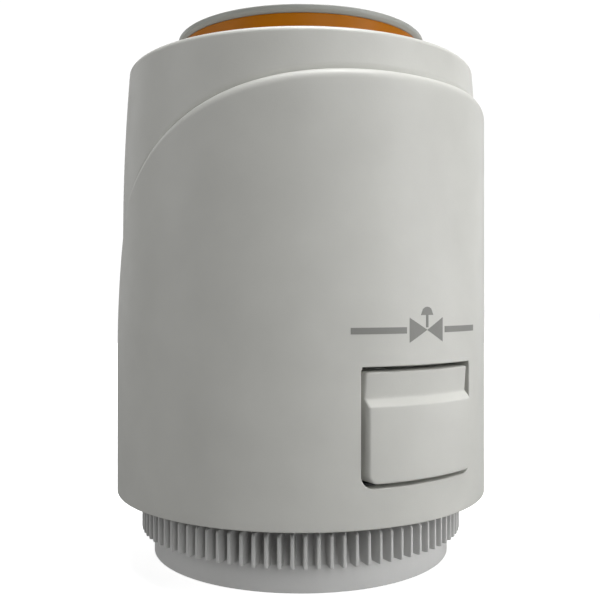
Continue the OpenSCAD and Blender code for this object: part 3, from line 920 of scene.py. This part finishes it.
# Name, degrees from the camera, distance, height, size and power
SOFT_LIGHTS = [
    ("front_left", 20, 0.50, 0.17, (0.20, 0.40), 0.70),
    ("key_front_right", 60, 0.42, 0.16, (0.06, 0.40), 0.89),
    ("key_right", 84, 0.42, 0.16, (0.30, 0.40), 0.05),
    ("low_right", 88, 0.42, 0.02, (0.20, 0.06), 0.36),
    ("rim_right", 132, 0.42, 0.10, (0.20, 0.40), 0.30),
    ("fill_left", -75, 0.42, 0.14, (0.30, 0.40), 0.59),
    ("rim_left", -130, 0.42, 0.10, (0.20, 0.40), 0.26),
    ("overhead_front", 75, 0.10, 0.50, (0.14, 0.14), 1.25),
    ("overhead_back", -165, 0.10, 0.50, (0.20, 0.20), 1.30),
    ("back", 180, 0.42, 0.12, (0.40, 0.40), 0.90),
]

CAMERA_AZ = -35.4
CAMERA_D = 100.15 * MM
CAMERA_Z = 30.08 * MM
SENSOR_WIDTH = 36.0             # millimetres, and so is the lens
LENS = 48.522
HORIZON_SHIFT = -0.0025833      # shares of the picture's width
SIDE_SHIFT = -0.0013333


def around(azimuth, distance, z):
    """Point at an angle from the front, in metres."""
    a = math.radians(azimuth)
    return (distance * math.sin(a), -distance * math.cos(a), z)


def aim(obj, target):
    direction = mathutils.Vector(target) - obj.location
    obj.rotation_euler = direction.to_track_quat("-Z", "Y").to_euler()


def area_light(name, azimuth, distance, z, size, power, target=(0, 0, 0.03)):
    """A soft lamp that faces the middle of the object."""
    data = bpy.data.lights.new(name, "AREA")
    data.shape = "RECTANGLE"
    data.size, data.size_y = size
    data.energy = power
    light = bpy.data.objects.new(name, data)
    light.location = around(azimuth, distance, z)
    bpy.context.scene.collection.objects.link(light)
    aim(light, target)
    return light


def make_camera():
    data = bpy.data.cameras.new("camera")
    data.sensor_width = SENSOR_WIDTH
    data.lens = LENS
    data.shift_x = SIDE_SHIFT
    data.shift_y = HORIZON_SHIFT
    data.clip_start = 0.005
    camera = bpy.data.objects.new("camera", data)
    camera.location = around(CAMERA_AZ, CAMERA_D, CAMERA_Z)
    bpy.context.scene.collection.objects.link(camera)
    aim(camera, (0, 0, CAMERA_Z))
    bpy.context.scene.camera = camera


def mix_seen(tree, lighting, seen, output):
    """What lights the object is one shader, and what is seen behind it is another."""
    mix = tree.nodes.new("ShaderNodeMixShader")
    path = tree.nodes.new("ShaderNodeLightPath")
    tree.links.new(path.outputs["Is Camera Ray"], mix.inputs["Fac"])
    tree.links.new(lighting, mix.inputs[1])
    tree.links.new(seen, mix.inputs[2])
    tree.links.new(mix.outputs["Shader"], output.inputs["Surface"])


def by_distance(tree, near, far, near_value, far_value):
    """A value that changes with the distance from the object's foot, in metres."""
    coords = tree.nodes.new("ShaderNodeTexCoord")
    length = tree.nodes.new("ShaderNodeVectorMath")
    length.operation = "LENGTH"
    span = tree.nodes.new("ShaderNodeMapRange")
    span.interpolation_type = "SMOOTHSTEP"
    limits = {"From Min": near, "From Max": far, "To Min": near_value, "To Max": far_value}
    for name, value in limits.items():
        span.inputs[name].default_value = value
    tree.links.new(coords.outputs["Object"], length.inputs[0])
    tree.links.new(length.outputs["Value"], span.inputs["Value"])
    return span.outputs["Result"]


def make_floor():
    shell = Shell()
    lines = np.linspace(-FLOOR_HALF, FLOOR_HALF, FLOOR_CELLS + 1)
    shell.grid([[(x, y, FLOOR_Z) for x in lines] for y in lines], wrap_cols=False)
    floor = shell.make("floor")
    mat, tree, shader = new_material("pale_floor")
    color_out = ramp(tree, noise(tree, 8, 3), [(0.3, (0.84, 0.84, 0.84)), (0.7, (0.87, 0.87, 0.87))])
    tree.links.new(color_out, shader.inputs["Base Color"])
    shader.inputs["Roughness"].default_value = 0.7
    shader.inputs["Emission Color"].default_value = (1, 1, 1, 1)
    tree.links.new(by_distance(tree, *FLOOR_GLOW_SPAN, *FLOOR_GLOW), shader.inputs["Emission Strength"])
    light = tree.nodes.new("ShaderNodeEmission")
    light.inputs["Strength"].default_value = FLOOR_LIGHT
    mix_seen(tree, light.outputs["Emission"], shader.outputs["BSDF"], tree.nodes["Material Output"])
    floor.data.materials.append(mat)


def make_world():
    world = bpy.data.worlds.new("studio")
    world.use_nodes = True
    tree = world.node_tree
    back = tree.nodes["Background"]
    back.inputs["Color"].default_value = (1, 1, 1, 1)
    back.inputs["Strength"].default_value = WORLD_LIGHT
    seen = tree.nodes.new("ShaderNodeBackground")
    seen.inputs["Color"].default_value = (1, 1, 1, 1)
    seen.inputs["Strength"].default_value = BACKDROP
    mix_seen(tree, back.outputs["Background"], seen.outputs["Background"], tree.nodes["World Output"])
    bpy.context.scene.world = world


make_camera()
make_floor()
make_world()
for light_name, turn, distance, height, size, power in SOFT_LIGHTS:
    area_light(light_name, CAMERA_AZ + turn, distance, height, size, power)
bpy.context.scene.view_settings.view_transform = "Standard"
